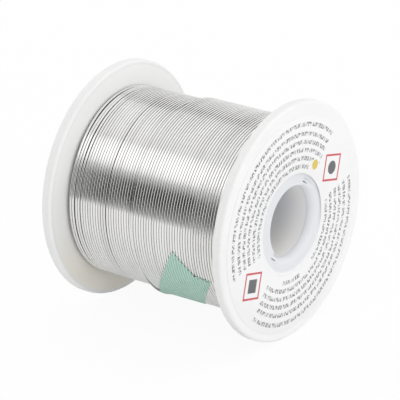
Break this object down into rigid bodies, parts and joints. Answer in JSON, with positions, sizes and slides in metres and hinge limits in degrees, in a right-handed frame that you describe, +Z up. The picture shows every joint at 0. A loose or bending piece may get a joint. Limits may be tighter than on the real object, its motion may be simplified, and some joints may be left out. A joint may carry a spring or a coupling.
{
  "type": "solder wire spool",
  "caption": "Flanged plastic spool with a through bore, closely wound with fine solder wire whose end is held down by a slanted strip of green tape.",
  "frame": {"origin": "on the axis of the bore, half way between the two end faces", "axes": "+Y along the bore axis, from the front end with the coloured marks to the rear end; +Z up with the spool lying on its two flange rims; +X to the right seen from the front"},
  "size_m": [0.0636, 0.057, 0.0636],
  "materials": {
    "spool_plastic": "satin white moulded polystyrene",
    "solder_wire": "bright drawn tin alloy wire with fine drawing lines",
    "tape_paper": "matt green crepe masking tape",
    "label_paper": null
  },
  "bodies": {
    "root": {"front_flange": "spool_plastic", "rear_flange": "spool_plastic", "arbor_tube": "spool_plastic", "hub_barrel": "spool_plastic", "solder_start": "solder_wire", "solder_inner_turns": "solder_wire", "solder_outer_turns": "solder_wire", "end_tape": "tape_paper", "front_label": "label_paper", "rear_label": "label_paper"}
  },
  "joints": []
}
